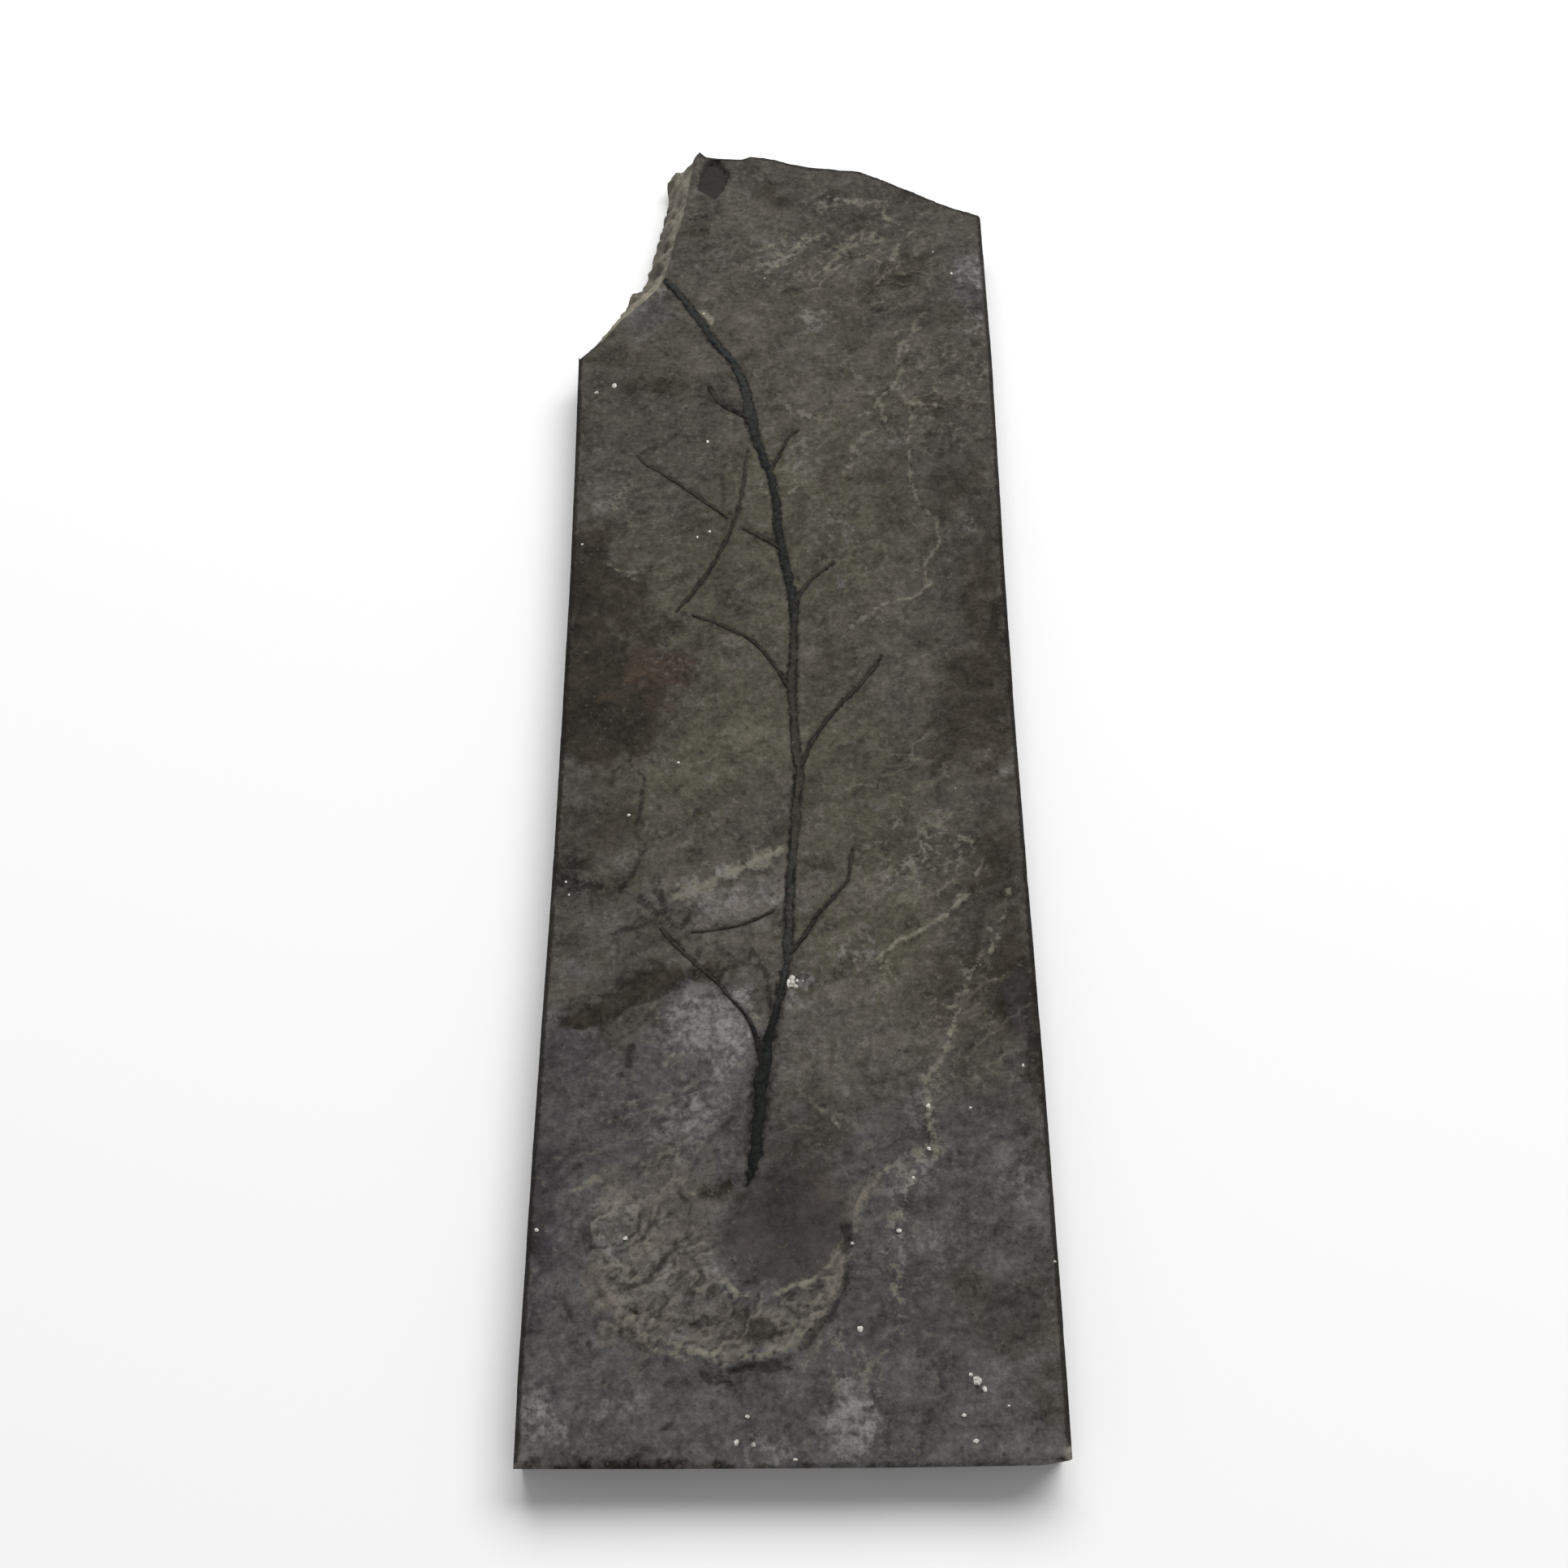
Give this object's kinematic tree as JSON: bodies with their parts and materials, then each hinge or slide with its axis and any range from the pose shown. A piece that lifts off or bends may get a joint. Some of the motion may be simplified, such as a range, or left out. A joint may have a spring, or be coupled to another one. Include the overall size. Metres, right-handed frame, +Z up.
{
  "type": "fossil plant plate",
  "caption": "Flat sawn plate of dark shale with one broken corner, carrying the carbonised stem and side branches of a fossil plant.",
  "frame": {"origin": "middle of the flat underside", "axes": "+Z up out of the fossil face, +Y along the plate towards its broken end, +X across the plate to the right"},
  "size_m": [0.128, 0.4, 0.014],
  "materials": {
    "shale": "matt split shale, dark olive grey, browner at the far end and bluish at the near end, with pale broken edges",
    "carbon_film": "thin carbonised plant film, near black, slightly satin",
    "calcite": "small white mineral grains stuck to the face"
  },
  "bodies": {
    "root": {"shale_slab": "shale", "main_stem": "carbon_film", "branch_top_left": "carbon_film", "branch_top_right": "carbon_film", "branch_long_left": "carbon_film", "branch_long_left_tip": "carbon_film", "twig_across": "carbon_film", "branch_middle_right": "carbon_film", "branch_middle_left": "carbon_film", "branch_long_right": "carbon_film", "branch_low_right": "carbon_film", "twig_thin_left": "carbon_film", "branch_low_left": "carbon_film"}
  },
  "joints": []
}
